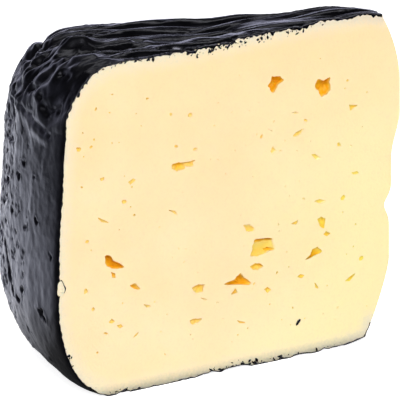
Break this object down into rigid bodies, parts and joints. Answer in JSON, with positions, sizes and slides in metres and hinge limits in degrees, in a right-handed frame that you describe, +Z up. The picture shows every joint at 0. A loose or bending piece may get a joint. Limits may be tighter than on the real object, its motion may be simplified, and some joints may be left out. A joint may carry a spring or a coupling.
{
  "type": "waxed tomme cheese wedge",
  "caption": "A pie-shaped wedge of pale cow's milk cheese under a wrinkled black wax coat, with small uneven eyes in its cut faces, cut from a wheel and ready to slice and serve.",
  "frame": {"origin": "the middle of the wedge's footprint box, on the surface it stands on", "axes": "+Z up; +X from the waxed rim to the tip, along the wedge's middle, its longest extent; -Y is the side of the cut face that the picture shows, and Y is the shortest extent"},
  "size_m": [0.1134, 0.0603, 0.096],
  "materials": {
    "cheese_paste": "moist satin cheese paste, pale butter yellow",
    "black_wax": "wrinkled satin black wax with a faint blue sheen"
  },
  "bodies": {
    "root": {"tomme_wedge": "cheese_paste"}
  },
  "joints": []
}
